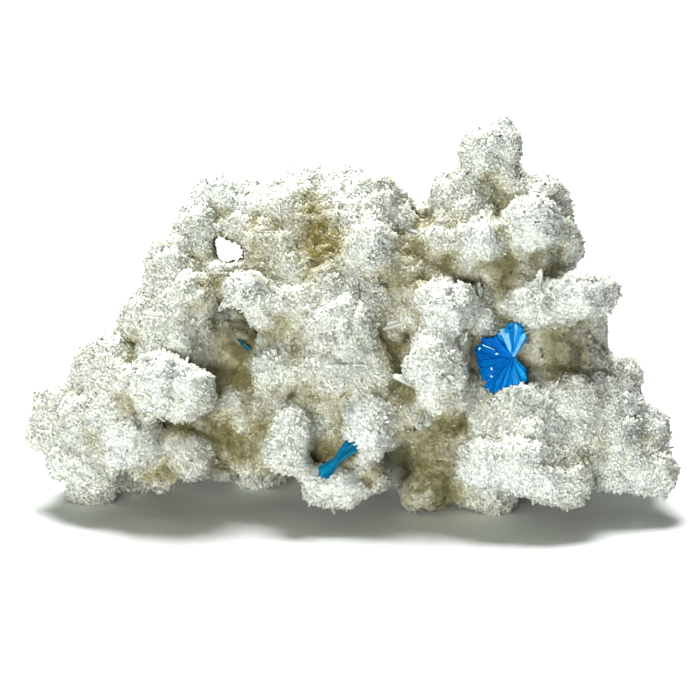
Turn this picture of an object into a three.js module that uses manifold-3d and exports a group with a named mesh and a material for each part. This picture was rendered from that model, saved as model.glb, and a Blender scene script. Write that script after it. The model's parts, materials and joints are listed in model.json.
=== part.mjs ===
// A cavansite specimen: sprays of blue cavansite seated in the hollows of a knobbly mass of white,
// sugar-like stilbite crystals. Millimetres, +Z up, standing on the flats under its lowest lumps.
//
// The mass is described on its display face, as a collector sees it: across to the right, up the
// face and out towards the viewer. The face leans back, so one turn about X stands it on its feet.

import * as THREE from 'three';
import { SimplifyModifier } from 'three/addons/modifiers/SimplifyModifier.js';
import { mergeVertices } from 'three/addons/utils/BufferGeometryUtils.js';
import Module from 'manifold-3d';

const wasm = await Module();
wasm.setup();

// ---------- driving dimensions ----------

const FACE_LEAN = 14; // degrees that the display face leans back from upright
const BASE_CENTRE = { x: -0.43, y: 6.95 }; // middle of the box round the mass, moved to the origin
const REST_SINK = 0.8; // how much is missing under the lowest lumps, where they are worn to flats

const DRUSE_DEPTH = 0.14; // how deep the valleys between crystal points are, as a share of the lump
const LUMP_STRETCH = 0.1; // how far a lump may differ from round, as a share

const WINDOW = { across: -16.9, up: 37.6, radius: 2.3, sides: 6 }; // opening through the shoulder

const BLADE_ROOT = 1.2; // how far a loose stilbite blade runs on into the druse
const BLADE_SEAT = 0.3; // how far below the tips of the druse it comes out
const BLADE_THICKNESS = 0.45; // as a share of its width
const CHISEL = 0.5; // length of a blade's chisel end, as a share of its width

const SEAT_GAP = 0.3; // clearance between a blue cluster and the pocket that it grows from
const POCKET_SLACK = 0.3; // extra room in a pocket, because its walls are coarser than the cluster

// Corners that a shape keeps once the short edges along its seams are thinned out.
const WALL_PARTING = 0.06; // how far each of two walls moves back where thinning drew them together
const CORNERS = { mass: 3350, rosette: 300, bowTie: 140, rosettePocket: 170, bowTiePocket: 80 };

// ---------- the stilbite mass: lumps as [across, up, out, radius to the crystal tips] ----------

// Thick middle of the mass, which every lobe grows from.
const HEART = [
  [-31, 14, -4, 9.5], [-21, 24, -6, 9.5], [-19, 14, -7, 9.5], [-12, 33, -7, 9.5],
  [-7, 18, -8, 11.5], [0, 31, -7, 11.5], [7, 16, -9, 11.5], [12, 29, -8, 11], [20, 18, -7, 11],
  [21, 31, -5, 9.5], [33, 13, -4, 9], [19, 41, -4, 7], [-16, 41, -6, 6], [30, 27, -5, 7],
  [1, 40, -5, 6.5], [21, 10, 3, 6], [-12, 17, -11, 9], [-24, 25.5, 0, 5.5], [5, 27, 1, 5],
  [-24, 31, -1, 5.5], [-18, 36, -8, 6.5],
];

// Floors of the hollows between the lobes.
const HOLLOWS = [
  [-16.5, 21, -1.5, 7.5], [-3, 9.6, 3.6, 5], [-21, 12, 3, 5], [5.5, 21.5, 3.5, 5.2],
  [10, 36.8, 0, 4.8], [13, 11, 3, 6], [22.5, 34.5, 0.5, 6.2], [26, 24, 0.5, 6.2],
  [20, 20.5, 1.5, 5.5], [-9.5, 12, 6, 4.6], [3, 13.5, 7.5, 4.6], [28, 31, 2.5, 4.6],
  [17.5, 38.8, 2.5, 4.4], [-8.5, 22, 3.5, 5], [-2, 5.5, 6, 4.2],
];

// Low lobe on the left, with its bright cap and the foot that it stands on.
const LEFT_LOBE = [
  [-34, 20.4, 1, 5.6], [-40.5, 14.5, -1, 4.6], [-43, 11.8, 0, 3.2], [-38.5, 8.6, 3, 4.4],
  [-36.5, 13, 5.5, 4.6], [-31, 10.8, 8.5, 4.9], [-36, 6.8, 6, 4], [-36.3, 5.2, -4, 4.5],
  [-26.8, 19, 12, 5], [-23, 17.8, 11, 4.2], [-22.6, 8.8, 7, 4.2], [-27, 7, 3.5, 4.3],
  [-31, 16.5, 6, 5],
];

// Shoulder that climbs from the lobe to the crest.
const SHOULDER = [
  [-28, 28, 2, 4.8], [-25.3, 34.8, 1, 4.9], [-21.6, 39.8, -1, 4.4], [-19, 44.2, -3, 4.3],
  [-22.5, 30, 5, 4.6], [-25, 24.5, 5, 4.8],
];

// Rounded crest over the middle.
const CREST = [
  [-14.5, 43.2, -3, 4.6], [-9.6, 44.2, -2, 4.6], [-5.2, 45.2, -2, 4.5], [-0.8, 45, -1, 4.6],
  [3.4, 43.4, 0, 5], [6, 40.6, 1, 3.6], [-11, 38, 3, 5.2], [-4, 38.4, 2, 4.8],
  [2.2, 37.4, 7.5, 4.2],
];

// Small lumps that hang over the hollow in the middle of the face.
const BROW = [
  [-15, 31.6, 9, 3.1], [-11.4, 29, 7.5, 3.7], [-7.2, 29.8, 7, 4.3], [-18, 33.2, 4, 3.2],
  [-10.6, 20.6, 6.4, 4.3], [-3, 33.4, 7.5, 3.6], [3.4, 32.4, 6.5, 3.8],
];

// White dome in the middle and the bright lumps beside it.
const MIDDLE = [
  [-1.7, 26.2, 9.5, 5.4], [-3, 20.4, 9.5, 4.8], [2.2, 20.6, 8.5, 4.4], [7.4, 31.4, 5.5, 4.2],
  [12.4, 28.4, 9.5, 5.2], [6.3, 36, 4.5, 2.8], [11.8, 20.7, 13, 4.6], [13, 16.6, 11, 3.7],
  [8.6, 15, 9.5, 3.7], [12, 22, 7, 5.2],
];

// Tall tower on the right, ending in a small pinnacle.
const TOWER = [
  [20.6, 52.2, -1, 2.9], [18.2, 50, 0, 3.4], [20.6, 46.8, -2, 4.2], [14, 44.8, 0, 4.2],
  [26.2, 43.4, -2, 4.8], [28, 39.2, -1, 4.4], [24.8, 41, 5.5, 4.4], [17.5, 38.3, 7, 3.9],
  [12, 38, 4.2, 3], [15.5, 41.8, 1.5, 3.8],
];

// Arm that reaches out to the right under the tower, and the wall below it.
const RIGHT_ARM = [
  [30.4, 31, 7, 4.3], [34.2, 31, 4, 3.6], [25.5, 29.6, 8, 3.9], [30.6, 23.8, -1, 4.8],
  [17.4, 27.2, 5, 3.6],
];

// Wide low lobe on the right, with the bright lip that overhangs its foot.
const RIGHT_LOBE = [
  [30.6, 15.8, 7, 4.8], [36, 15.6, 4, 4.8], [40.4, 11.8, 1.5, 4.6], [41.6, 6.4, 5, 4.1],
  [36.6, 6.9, 6.5, 3.8], [36, 11.2, 6.5, 4.4], [30.8, 10.2, 8, 4.4], [24.4, 15.4, 8.5, 4],
  [20.1, 13.2, 9, 4.2], [25, 11.6, 10, 4.3], [18.4, 7.6, 13, 4.2], [23.6, 7.2, 14, 4.5],
  [29, 4.9, 12.6, 4.3], [26.4, 6, 13, 4.2], [22.5, 9, 8, 5.2],
];

// Ring of lumps round the small cup, and the feet in the middle.
const CUP_AND_FEET = [
  [-8.2, 12.4, 11, 3.6], [-9.1, 9.3, 12, 3.5], [-3.8, 5, 10, 3.6], [1.6, 5.4, 9.2, 3.6],
  [-1.3, 4.6, 10.2, 3.7],
  [2.3, 12.8, 11.6, 3.9], [-14, 14.4, 6.5, 3.2], [-13.3, 9.2, 3, 4.3], [-17.4, 10.2, 2.5, 3.6],
  [10.2, 3.8, 0.5, 4.3], [14.9, 4.4, -1, 3.6], [19.6, 3.6, 0.5, 4.2], [-3.4, 16.2, 7.5, 3.5],
];

// Far side: broader lumps of the same growth, with the feet that it leans on.
const FAR_SIDE = [
  [-39, 12, -7, 5], [-34, 19, -7, 5.4], [-32, 8, -10, 5.6], [-25, 9, -13, 6.2],
  [-28, 17, -12, 6], [-28, 26, -8, 5.8], [-22, 24, -13, 6], [-24, 33, -8, 5.6],
  [-18, 15, -16, 6], [-17, 32, -14, 6.2], [-19, 40, -8, 5.2], [-13, 8, -13, 5.6],
  [-11, 24, -18, 6.4], [-10, 40, -11, 6], [-7, 15, -18, 6.2], [-6, 33, -16, 6.2],
  [-2, 41, -10, 5.8], [-1, 8, -14, 5.8], [1, 24, -19, 6.4], [3, 15, -19, 6],
  [5, 34, -16, 6.2], [5, 42, -7, 5], [8, 9, -14, 6.2], [11, 20, -19, 6.2],
  [13, 31, -16, 6.4], [14, 41, -9, 5.6], [16, 12, -17, 5.8], [20, 23, -17, 6.2],
  [21, 9.5, -13, 6.2], [21, 38, -12, 5.8], [22, 46, -7, 4.6], [27, 16, -14, 6],
  [28, 28, -12, 6], [29, 38, -6, 4.8], [33, 10, -11, 5.8], [34, 19, -7, 5.2],
  [39, 11, -6, 5],
];

// ---------- loose stilbite blades: [across, up, heading, rise, length, width] ----------
// Heading 0 points to the right and 90 up the face; the rise is towards the viewer, in degrees.

const BLADES = [
  [8, 18.7, 157, 20, 3.6, 1], [10.4, 14.8, 266, 25, 2.6, 0.9], [9, 13.8, 252, 20, 2.4, 0.9],
  [15.3, 24.4, 65, 35, 2, 1.2], [16.8, 30.4, 122, 25, 3, 0.9], [17.7, 30.4, 98, 25, 2.8, 0.8],
  [-12.4, 24.2, 96, 20, 2.2, 0.8], [25.4, 32.8, 82, 15, 2.4, 1], [33.6, 31.4, 48, 30, 3, 0.9],
  [23.4, 11.8, 34, 25, 3.6, 1], [1, 21.4, 178, 15, 4.6, 0.8], [-16.6, 29.8, 205, 10, 2.8, 0.9],
  [1.2, 46.4, 34, 20, 2.4, 0.9], [8, 39.8, 322, 20, 2.6, 0.8], [26.2, 15.6, 72, 25, 3, 0.9],
  [27.4, 15.4, 52, 25, 3.2, 0.8], [6, 27, 196, 15, 2.6, 1.2], [38, 13.4, 28, 25, 2.4, 0.9],
  [21.4, 16.4, 118, 35, 2.6, 1], [22.6, 16.8, 92, 35, 2.6, 1], [23.8, 16.6, 70, 35, 2.4, 0.9],
];

// Blades on the rim, which stand clear of it in outline: [across, up, out, heading, rise,
// length, width].
const RIM_BLADES = [
  [-44.1, 12.8, 0, 172, 10, 2.2, 1], [-44.2, 11.2, 0, 196, 10, 2.2, 0.9],
  [-43.8, 16.6, -1, 148, 10, 2.2, 1], [-20.8, 47, -3, 118, 10, 2.2, 0.9],
  [20.7, 53.6, -1, 84, 10, 2.2, 1], [43, 13.4, 1.5, 32, 10, 2.2, 1],
];

// ---------- the blue cavansite: blades that spread from a waist ----------

const SPRAY_TAPER = 0.5; // width of a blue blade at the waist, as a share of its full width
const SPRAY_ROOT = 0.3; // how far each blade runs past the waist

// Rosette in the hollow under the right arm: a dome of blades to the left and a narrow upper fan.
const ROSETTE = { across: 22.3, up: 22.2, out: 7.8, radius: 5.5, thickness: 0.75 };
const ROSETTE_RINGS = [
  // from and to heading, blades, rise, length as a share of the radius, width
  [116, 292, 10, 4, 1, 2.1],
  [126, 282, 7, 32, 0.98, 2],
  [150, 258, 4, 60, 0.94, 1.9],
  [120, 290, 4, -42, 0.6, 1.8],
  [68, 100, 3, 16, 0.98, 1.5],
];

// Bow tie in the cup: two sheaves back to back on one waist.
const BOW_TIE = { across: -1.95, up: 8.35, out: 13, radius: 3.4, thickness: 0.7, width: 1.2 };
const BOW_TIE_AXIS = { heading: 40, rise: 8 }; // direction of its upper sheaf
const BOW_TIE_SPREAD = 21; // half the angle of a sheaf, in degrees
const BOW_TIE_BLADES = 6; // round each sheaf, with one more along its middle

// Sliver lying on the floor of the left hollow.
const SLIVER = {
  across: -15.7, up: 24.8, out: 5.1, heading: 314, rise: -6, length: 2.4, width: 0.6,
  thickness: 0.5, taper: 0.8,
};

// ---------- helpers ----------

const radians = THREE.MathUtils.degToRad;

// From the display face's own directions to the standing specimen.
const toStanding = new THREE.Matrix4().makeRotationX(radians(90 - FACE_LEAN))
  .premultiply(new THREE.Matrix4().makeTranslation(-BASE_CENTRE.x, -BASE_CENTRE.y, -REST_SINK));
const onFace = (across, up, out) => new THREE.Vector3(across, up, out).applyMatrix4(toStanding);

// A direction on the face: its heading across the face, and its rise towards the viewer.
function faceDirection(heading, rise) {
  const flat = Math.cos(radians(rise));
  return new THREE.Vector3(
    flat * Math.cos(radians(heading)), flat * Math.sin(radians(heading)), Math.sin(radians(rise)),
  ).transformDirection(toStanding);
}
const TO_VIEWER = faceDirection(0, 90);
const REACH = 60; // further than any part of the specimen lies from its middle

// Small repeatable source of numbers from 0 to 1, so that every build is the same.
function repeatable(seed) {
  let state = seed >>> 0;
  return () => {
    state = (state + 0x6d2b79f5) >>> 0;
    let t = Math.imul(state ^ (state >>> 15), 1 | state);
    t = (t + Math.imul(t ^ (t >>> 7), 61 | t)) ^ t;
    return ((t ^ (t >>> 14)) >>> 0) / 4294967296;
  };
}

function solidOf(geometry) {
  const bare = geometry.clone();
  bare.deleteAttribute('normal');
  bare.deleteAttribute('uv');
  const merged = mergeVertices(bare, 1e-4);
  const vertProperties = new Float32Array(merged.attributes.position.array);
  return new wasm.Manifold(
    new wasm.Mesh({ numProp: 3, vertProperties, triVerts: new Uint32Array(merged.index.array) }),
  );
}

function geometryOf(solid) {
  const mesh = solid.getMesh();
  return new THREE.BufferGeometry()
    .setAttribute('position', new THREE.BufferAttribute(mesh.vertProperties, 3))
    .setIndex(new THREE.BufferAttribute(mesh.triVerts, 1));
}

const joined = (solids) => solids.reduce((whole, next) => whole.add(next));

// Thins out the short edges that joining leaves along the seams.
async function thinned(solid, corners) {
  const fine = geometryOf(solid);
  const spare = fine.attributes.position.count - corners;
  return parted(solidOf(await new SimplifyModifier().modify(fine, spare)));
}

// Thinning can draw two walls onto one edge. Each wall has its own copy of the corners there, and
// a copy moves back towards the corners round it, which parts the walls.
function parted(solid) {
  const { vertProperties: position, triVerts: triangles } = solid.getMesh();
  const cornerAt = (index) => new THREE.Vector3().fromArray(position, 3 * index);
  const copies = new Map();
  const round = new Map();
  for (let index = 0; index < position.length / 3; index += 1) {
    const place = cornerAt(index).toArray().join();
    copies.set(place, [...(copies.get(place) ?? []), index]);
    round.set(index, []);
  }
  triangles.forEach((index, i) => {
    round.get(index).push(cornerAt(triangles[i % 3 === 2 ? i - 2 : i + 1]));
  });
  const moved = Float32Array.from(position);
  for (const index of [...copies.values()].filter((same) => same.length > 1).flat()) {
    const corner = cornerAt(index);
    const middle = round.get(index).reduce((sum, next) => sum.add(next), new THREE.Vector3())
      .divideScalar(round.get(index).length);
    const step = middle.sub(corner).setLength(WALL_PARTING);
    corner.add(step).toArray(moved, 3 * index);
  }
  return new wasm.Manifold(
    new wasm.Mesh({ numProp: 3, vertProperties: moved, triVerts: triangles }),
  );
}

// ---------- the stilbite mass ----------

// A ball of crystal points: each face of an icosahedron carries one three-sided point.
function crystalBall(radius, detail, random) {
  const ball = new THREE.IcosahedronGeometry(1, detail).attributes.position;
  const [a, b, c, tip] = [0, 1, 2, 3].map(() => new THREE.Vector3());
  const corners = [];
  for (let face = 0; face < ball.count; face += 3) {
    a.fromBufferAttribute(ball, face).multiplyScalar(radius * (1 - DRUSE_DEPTH));
    b.fromBufferAttribute(ball, face + 1).multiplyScalar(radius * (1 - DRUSE_DEPTH));
    c.fromBufferAttribute(ball, face + 2).multiplyScalar(radius * (1 - DRUSE_DEPTH));
    tip.addVectors(a, b).add(c).setLength(radius * (1 - 0.5 * DRUSE_DEPTH * random()));
    for (const point of [a, b, tip, b, c, tip, c, a, tip]) corners.push(point.x, point.y, point.z);
  }
  return new THREE.BufferGeometry().setAttribute(
    'position', new THREE.Float32BufferAttribute(corners, 3),
  );
}

// The heart and the floors of the hollows carry finer points than the lumps that stand on them.
function lump([across, up, out, radius], index) {
  const random = repeatable(1000 * radius + 7 * index + across);
  const detail = index < HEART.length + HOLLOWS.length ? 1 : 0;
  const angle = () => 2 * Math.PI * random();
  const turn = new THREE.Quaternion().setFromEuler(new THREE.Euler(angle(), angle(), angle()));
  const stretch = new THREE.Vector3(1, 1, 1);
  for (const axis of ['x', 'y', 'z']) stretch[axis] += LUMP_STRETCH * (random() - 0.5);
  const place = new THREE.Matrix4().compose(onFace(across, up, out), turn, stretch);
  return solidOf(crystalBall(radius, detail, random).applyMatrix4(place));
}

const LUMPS = [
  ...HEART, ...HOLLOWS, ...LEFT_LOBE, ...SHOULDER, ...CREST, ...BROW, ...MIDDLE, ...TOWER,
  ...RIGHT_ARM, ...RIGHT_LOBE, ...CUP_AND_FEET, ...FAR_SIDE,
];

// The window is a passage that runs from front to back.
function windowCut() {
  const { across, up, radius, sides } = WINDOW;
  const passage = new THREE.CylinderGeometry(radius, radius, 2 * REACH, sides);
  const alongOut = new THREE.Quaternion().setFromUnitVectors(new THREE.Vector3(0, 1, 0), TO_VIEWER);
  return solidOf(passage.applyQuaternion(alongOut).translate(...onFace(across, up, 0).toArray()));
}

// Everything under the resting plane is cut away, which leaves a flat under each foot.
function floorCut() {
  return solidOf(new THREE.BoxGeometry(2 * REACH, 2 * REACH, REACH).translate(0, 0, -REACH / 2));
}

// ---------- blades ----------

// A flat crystal along +Y with a chisel end: narrow where it grows from, if it tapers.
function bladeGeometry({ length, width, thickness, root, taper }) {
  const foot = (taper * width) / 2;
  const shoulder = length - CHISEL * width;
  const outline = new THREE.Shape([
    new THREE.Vector2(-foot, -root), new THREE.Vector2(foot, -root),
    new THREE.Vector2(width / 2, shoulder), new THREE.Vector2(0, length),
    new THREE.Vector2(-width / 2, shoulder),
  ]);
  const blade = new THREE.ExtrudeGeometry(outline, { depth: thickness, bevelEnabled: false });
  return blade.translate(0, 0, -thickness / 2);
}

// Turns a blade along a direction of the face, with its broad side to the viewer.
function pointed(geometry, at, direction) {
  const side = new THREE.Vector3().crossVectors(direction, TO_VIEWER).normalize();
  const broad = new THREE.Vector3().crossVectors(side, direction);
  const turn = new THREE.Matrix4().makeBasis(side, direction, broad).setPosition(at);
  return solidOf(geometry.applyMatrix4(turn));
}

// How far out the druse comes at a place on the face.
function druseAt(across, up) {
  const reach = LUMPS.map(([a, u, out, radius]) => {
    const inside = ((1 - DRUSE_DEPTH / 2) * radius) ** 2 - (across - a) ** 2 - (up - u) ** 2;
    return inside > 0 ? out + Math.sqrt(inside) : -Infinity;
  });
  return Math.max(...reach);
}

function stilbiteBlade([across, up, out, heading, rise, length, width]) {
  const thickness = BLADE_THICKNESS * width;
  const blade = bladeGeometry({ length, width, thickness, root: BLADE_ROOT, taper: 1 });
  return pointed(blade, onFace(across, up, out), faceDirection(heading, rise));
}

const blades = [
  ...BLADES.map(([across, up, ...rest]) => [across, up, druseAt(across, up) - BLADE_SEAT, ...rest]),
  ...RIM_BLADES,
].map(stilbiteBlade);

// ---------- cavansite ----------

// One blue blade, grown all round by the clearance where it cuts its own pocket.
function blueBlade({ length, width, thickness, root, taper }, grow) {
  return bladeGeometry({
    length: length + grow, width: width + 2 * grow, thickness: thickness + 2 * grow,
    root: root + grow, taper,
  });
}

// A cluster of tapered blades round one waist.
function spray({ across, up, out, thickness }, rays, grow) {
  const waist = onFace(across, up, out);
  return joined(rays.map(({ direction, length, width }) => {
    const blade = { length, width, thickness, root: SPRAY_ROOT, taper: SPRAY_TAPER };
    return pointed(blueBlade(blade, grow), waist, direction);
  }));
}

const rosetteRays = ROSETTE_RINGS.flatMap(([from, to, count, rise, share, width]) =>
  Array.from({ length: count }, (_, i) => ({
    direction: faceDirection(from + ((to - from) * i) / (count - 1), rise),
    length: share * ROSETTE.radius,
    width,
  })));

function bowTieRays() {
  const axis = faceDirection(BOW_TIE_AXIS.heading, BOW_TIE_AXIS.rise);
  const tilt = faceDirection(BOW_TIE_AXIS.heading + 90, 0);
  const leaning = axis.clone().applyAxisAngle(tilt, radians(BOW_TIE_SPREAD));
  const sheaf = [axis, ...Array.from({ length: BOW_TIE_BLADES }, (_, i) =>
    leaning.clone().applyAxisAngle(axis, (2 * Math.PI * i) / BOW_TIE_BLADES))];
  return [...sheaf, ...sheaf.map((ray) => ray.clone().negate())].map((direction) => (
    { direction, length: BOW_TIE.radius, width: BOW_TIE.width }));
}

function sliver(grow) {
  const { across, up, out, heading, rise } = SLIVER;
  const blade = blueBlade({ ...SLIVER, root: 0 }, grow);
  return pointed(blade, onFace(across, up, out), faceDirection(heading, rise));
}

const rosette = (grow) => spray(ROSETTE, rosetteRays, grow);
const bowTie = (grow) => spray(BOW_TIE, bowTieRays(), grow);
const roomy = SEAT_GAP + POCKET_SLACK;

// ---------- the specimen ----------

const mass = await thinned(joined(LUMPS.map(lump)), CORNERS.mass);
const cuts = [
  windowCut(),
  await thinned(rosette(roomy), CORNERS.rosettePocket),
  await thinned(bowTie(roomy), CORNERS.bowTiePocket),
  sliver(SEAT_GAP),
  floorCut(),
];
const stilbite = cuts.reduce((whole, cut) => whole.subtract(cut), joined([mass, ...blades]));

const specimen = new THREE.Group();

function addPiece(name, solid, color, roughness) {
  const piece = new THREE.Mesh(
    geometryOf(solid), new THREE.MeshStandardMaterial({ color, roughness, metalness: 0 }),
  );
  piece.name = name;
  specimen.add(piece);
}

addPiece('stilbite_matrix', stilbite, 0xe9ebe4, 0.45);
addPiece('cavansite_rosette', await thinned(rosette(0), CORNERS.rosette), 0x0b78c4, 0.35);
addPiece('cavansite_bowtie', await thinned(bowTie(0), CORNERS.bowTie), 0x0b78c4, 0.35);
addPiece('cavansite_sliver', sliver(0), 0x0f5e78, 0.35);

export default specimen;
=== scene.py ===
# %% [markdown]
# # A cavansite specimen
# This lesson dresses a mineral specimen: a knobbly mass of white stilbite, covered all over in a
# sugar-like druse of tiny crystals, with three growths of blue cavansite in its hollows.
# The solids are already made and stand in metres with +Z up. They give the lumps, the hollows and
# the places of the blue crystals. Everything here is grown on them, and nothing moves them.

# %% Load the solids
import json
import math

import bmesh
import bpy
import numpy as np
from mathutils import Matrix, Vector, noise
from mathutils.bvhtree import BVHTree

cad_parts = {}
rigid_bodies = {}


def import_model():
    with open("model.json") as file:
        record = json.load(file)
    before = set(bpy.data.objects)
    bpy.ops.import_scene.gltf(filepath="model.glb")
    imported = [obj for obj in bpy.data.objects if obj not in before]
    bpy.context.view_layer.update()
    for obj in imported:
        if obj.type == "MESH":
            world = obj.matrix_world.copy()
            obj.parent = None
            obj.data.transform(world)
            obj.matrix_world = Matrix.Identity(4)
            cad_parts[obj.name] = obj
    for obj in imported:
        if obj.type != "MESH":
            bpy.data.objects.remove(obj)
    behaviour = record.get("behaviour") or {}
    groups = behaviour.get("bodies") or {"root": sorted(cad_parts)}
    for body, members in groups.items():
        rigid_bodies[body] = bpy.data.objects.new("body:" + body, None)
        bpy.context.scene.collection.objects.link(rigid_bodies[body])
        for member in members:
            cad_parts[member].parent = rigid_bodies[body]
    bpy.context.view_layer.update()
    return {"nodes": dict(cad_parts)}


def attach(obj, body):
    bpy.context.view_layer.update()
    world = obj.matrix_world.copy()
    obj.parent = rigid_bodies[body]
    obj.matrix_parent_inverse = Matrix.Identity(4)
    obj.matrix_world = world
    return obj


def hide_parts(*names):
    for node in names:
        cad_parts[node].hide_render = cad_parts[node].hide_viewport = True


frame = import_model()
print("solids:", sorted(frame["nodes"]))

# %% [markdown]
# Collectors describe a specimen on its display face: across it, up it, and out towards the viewer.
# The places below could be written in the standing frame, but on the face they read as what one
# sees. This face leans back 14 degrees, because the lower lumps come further forward. One function
# turns millimetres on the face into metres in the standing frame, and one turns them back.

# %% Places on the display face
MM = 0.001
FACE_LEAN = math.radians(14)
FACE_ORIGIN = np.array([0.43, -6.95, -0.8])  # where the face's own origin lies, in mm
ACROSS = np.array([1.0, 0.0, 0.0])
UP = np.array([0.0, math.sin(FACE_LEAN), math.cos(FACE_LEAN)])
OUT = np.array([0.0, -math.cos(FACE_LEAN), math.sin(FACE_LEAN)])
FACE = np.array([ACROSS, UP, OUT])


def on_face(place):
    return (np.asarray(place, float) @ FACE + FACE_ORIGIN) * MM


def face_place(points):
    return (np.asarray(points) / MM - FACE_ORIGIN) @ FACE.T


def face_direction(heading, rise):
    """Heading 0 points to the right and 90 up the face; the rise is towards the viewer."""
    h, r = math.radians(heading), math.radians(rise)
    return np.array([math.cos(r) * math.cos(h), math.cos(r) * math.sin(h), math.sin(r)]) @ FACE


print("foot of the face:", on_face((0, 0, 0)).round(4))

# %% [markdown]
# A small object is shown best from far away with a long lens, which keeps it from bulging. The
# camera looks straight at the display face, so it stands 14 degrees above the table's level.

# %% Camera
LENS = 200  # mm
SENSOR = 36  # mm
VIEW_WIDTH = 98 * MM  # what the frame takes in at the face
VIEW_CENTRE = on_face((-0.28, 23.4, 0))

camera = bpy.data.objects.new("camera", bpy.data.cameras.new("camera"))
bpy.context.scene.collection.objects.link(camera)
bpy.context.scene.camera = camera
camera.data.lens, camera.data.sensor_width = LENS, SENSOR
camera.location = Vector(VIEW_CENTRE + OUT * VIEW_WIDTH * LENS / SENSOR)
camera.rotation_euler = Vector(-OUT).to_track_quat("-Z", "Y").to_euler()
print("camera at", [round(v, 3) for v in camera.location])

# %% [markdown]
# Colours are easiest to judge as people write them, in sRGB hex. Blender works in linear light, so
# one function turns the first into the second, and every colour below goes through it.

# %% Colours
def srgb(code):
    """A hex colour as people read it, turned into the linear values that Blender works in."""
    parts = [int(code[i:i + 2], 16) / 255 for i in (0, 2, 4)]
    return [p / 12.92 if p <= 0.04045 else ((p + 0.055) / 1.055) ** 2.4 for p in parts] + [1.0]


print("mid grey 808080 is", round(srgb("808080")[0], 3), "in linear light")

# %% [markdown]
# White crystals on a white table need soft light from above, with a weaker light in front, so that
# the lumps keep their grey-green shadows and the table still burns out to white. Small lamps would
# put hard shadows between the crystals, so large area lights stand in for softboxes.

# %% Lights and world
def softbox(name, place, target, size, power):
    """size is its width and its height."""
    light = bpy.data.lights.new(name, "AREA")
    light.shape, light.energy = "ELLIPSE", power
    light.size, light.size_y = size
    box = bpy.data.objects.new(name, light)
    bpy.context.scene.collection.objects.link(box)
    box.location = place
    box.rotation_euler = (Vector(target) - Vector(place)).to_track_quat("-Z", "Y").to_euler()


MIDDLE = (0, 0, 0.025)
softbox("softbox_above", (-0.10, 0.26, 1.0), MIDDLE, (0.6, 0.6), 21.5)
softbox("softbox_front", (-0.24, -0.78, 0.09), MIDDLE, (0.6, 0.14), 7.3)

world = bpy.data.worlds.new("white_room")
bpy.context.scene.world = world
world.use_nodes = True
world.node_tree.nodes["Background"].inputs["Color"].default_value = srgb("f7f7e6")
world.node_tree.nodes["Background"].inputs["Strength"].default_value = 0.05
bpy.context.scene.view_settings.view_transform = "Standard"
print("lights:", [light.name for light in bpy.data.lights])

# %% [markdown]
# The specimen rests on a table. A painted board is enough. Its paint is the first material. Each
# material starts from Blender's own shader, and one helper sets the values that are the same all
# over it.

# %% Table
def material(name, shader_values):
    made = bpy.data.materials.new(name)
    made.use_nodes = True
    shader = made.node_tree.nodes["Principled BSDF"]
    for socket, value in shader_values.items():
        shader.inputs[socket].default_value = value
    return made


FLOOR_HALF = 1.5  # metres
# Matt emulsion paint on board: rough, with hardly any gloss, so it shows soft shadows and no glare.
table_paint = material("matt_white_table", {
    "Base Color": srgb("e8eaeb"), "Roughness": 0.6, "Specular IOR Level": 0.2,
})
floor_mesh = bpy.data.meshes.new("table")
floor_mesh.from_pydata(
    [(x * FLOOR_HALF, y * FLOOR_HALF, 0) for x, y in ((-1, -1), (1, -1), (1, 1), (-1, 1))], [],
    [(0, 1, 2, 3)],
)
floor_mesh.materials.append(table_paint)
floor = bpy.data.objects.new("table", floor_mesh)
bpy.context.scene.collection.objects.link(floor)
print("table:", 2 * FLOOR_HALF, "m wide")

# %% [markdown]
# The stilbite mass is made of balls of crystals that grew into each other. The solid has them as
# coarse crystal points, too large to look like sugar. Fine crystals could be strewn straight on
# it, but the coarse points would show through, so they are melted down to a smooth body first. A
# voxel remesh joins the lumps. Swelling that skin and shrinking it by as much shuts the narrow gaps
# between them. Some creases would still be too deep, so balls of growth fill those beforehand, and
# two more round out the right end.

# %% Fill the deep creases and melt the lumps together
VOXEL = 0.6 * MM
WELDED = 0.01 * MM  # corners closer than this become one
GAP = 1.1 * MM  # gaps between lumps narrower than this have grown shut
SKIN_ROUNDS = 4  # how often the stair steps of the voxels are smoothed
FILLERS = [  # across, up, out, radius in mm
    (-7.5, 38, 2.2, 5), (-9, 34, 3, 4.6), (-12.6, 34.4, 2.4, 4), (-5, 34.6, 3, 4.4),
    (-9, 41.5, 1.2, 4.6), (-1, 36.5, 3, 4.5), (-13.5, 40.8, 0, 3.6), (0, 40.5, 3, 4),
    (-14.8, 31.6, 9.8, 2.6), (18.4, 51.8, -1, 2.7), (-20.3, 36.2, 0, 2.4), (13.5, 34.5, 3, 3.6),
    (9.5, 35, 3, 3.4), (27.5, 18.5, 5.5, 2.6), (31, 18.5, 5, 2.6), (19.5, 30, 4, 2.6),
    (-16.8, 15.5, 4, 3), (17.5, 28, 6, 2.4), (17, 18.5, 6.5, 2.5), (4.8, 28.5, 6, 3.2),
    (34.5, 20, 1, 3), (37.5, 19.5, -1.5, 3),
]


def applied(name, source, modifiers):
    """A new object of a mesh, with the modifiers worked into it."""
    made = bpy.data.objects.new(name, source)
    bpy.context.scene.collection.objects.link(made)
    for kind, settings in modifiers:
        modifier = made.modifiers.new(kind, kind)
        for key, value in settings.items():
            setattr(modifier, key, value)
    graph = bpy.context.evaluated_depsgraph_get()
    mesh = bpy.data.meshes.new_from_object(made.evaluated_get(graph))
    made.modifiers.clear()
    made.data = mesh
    mesh.name = name
    return made


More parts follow.
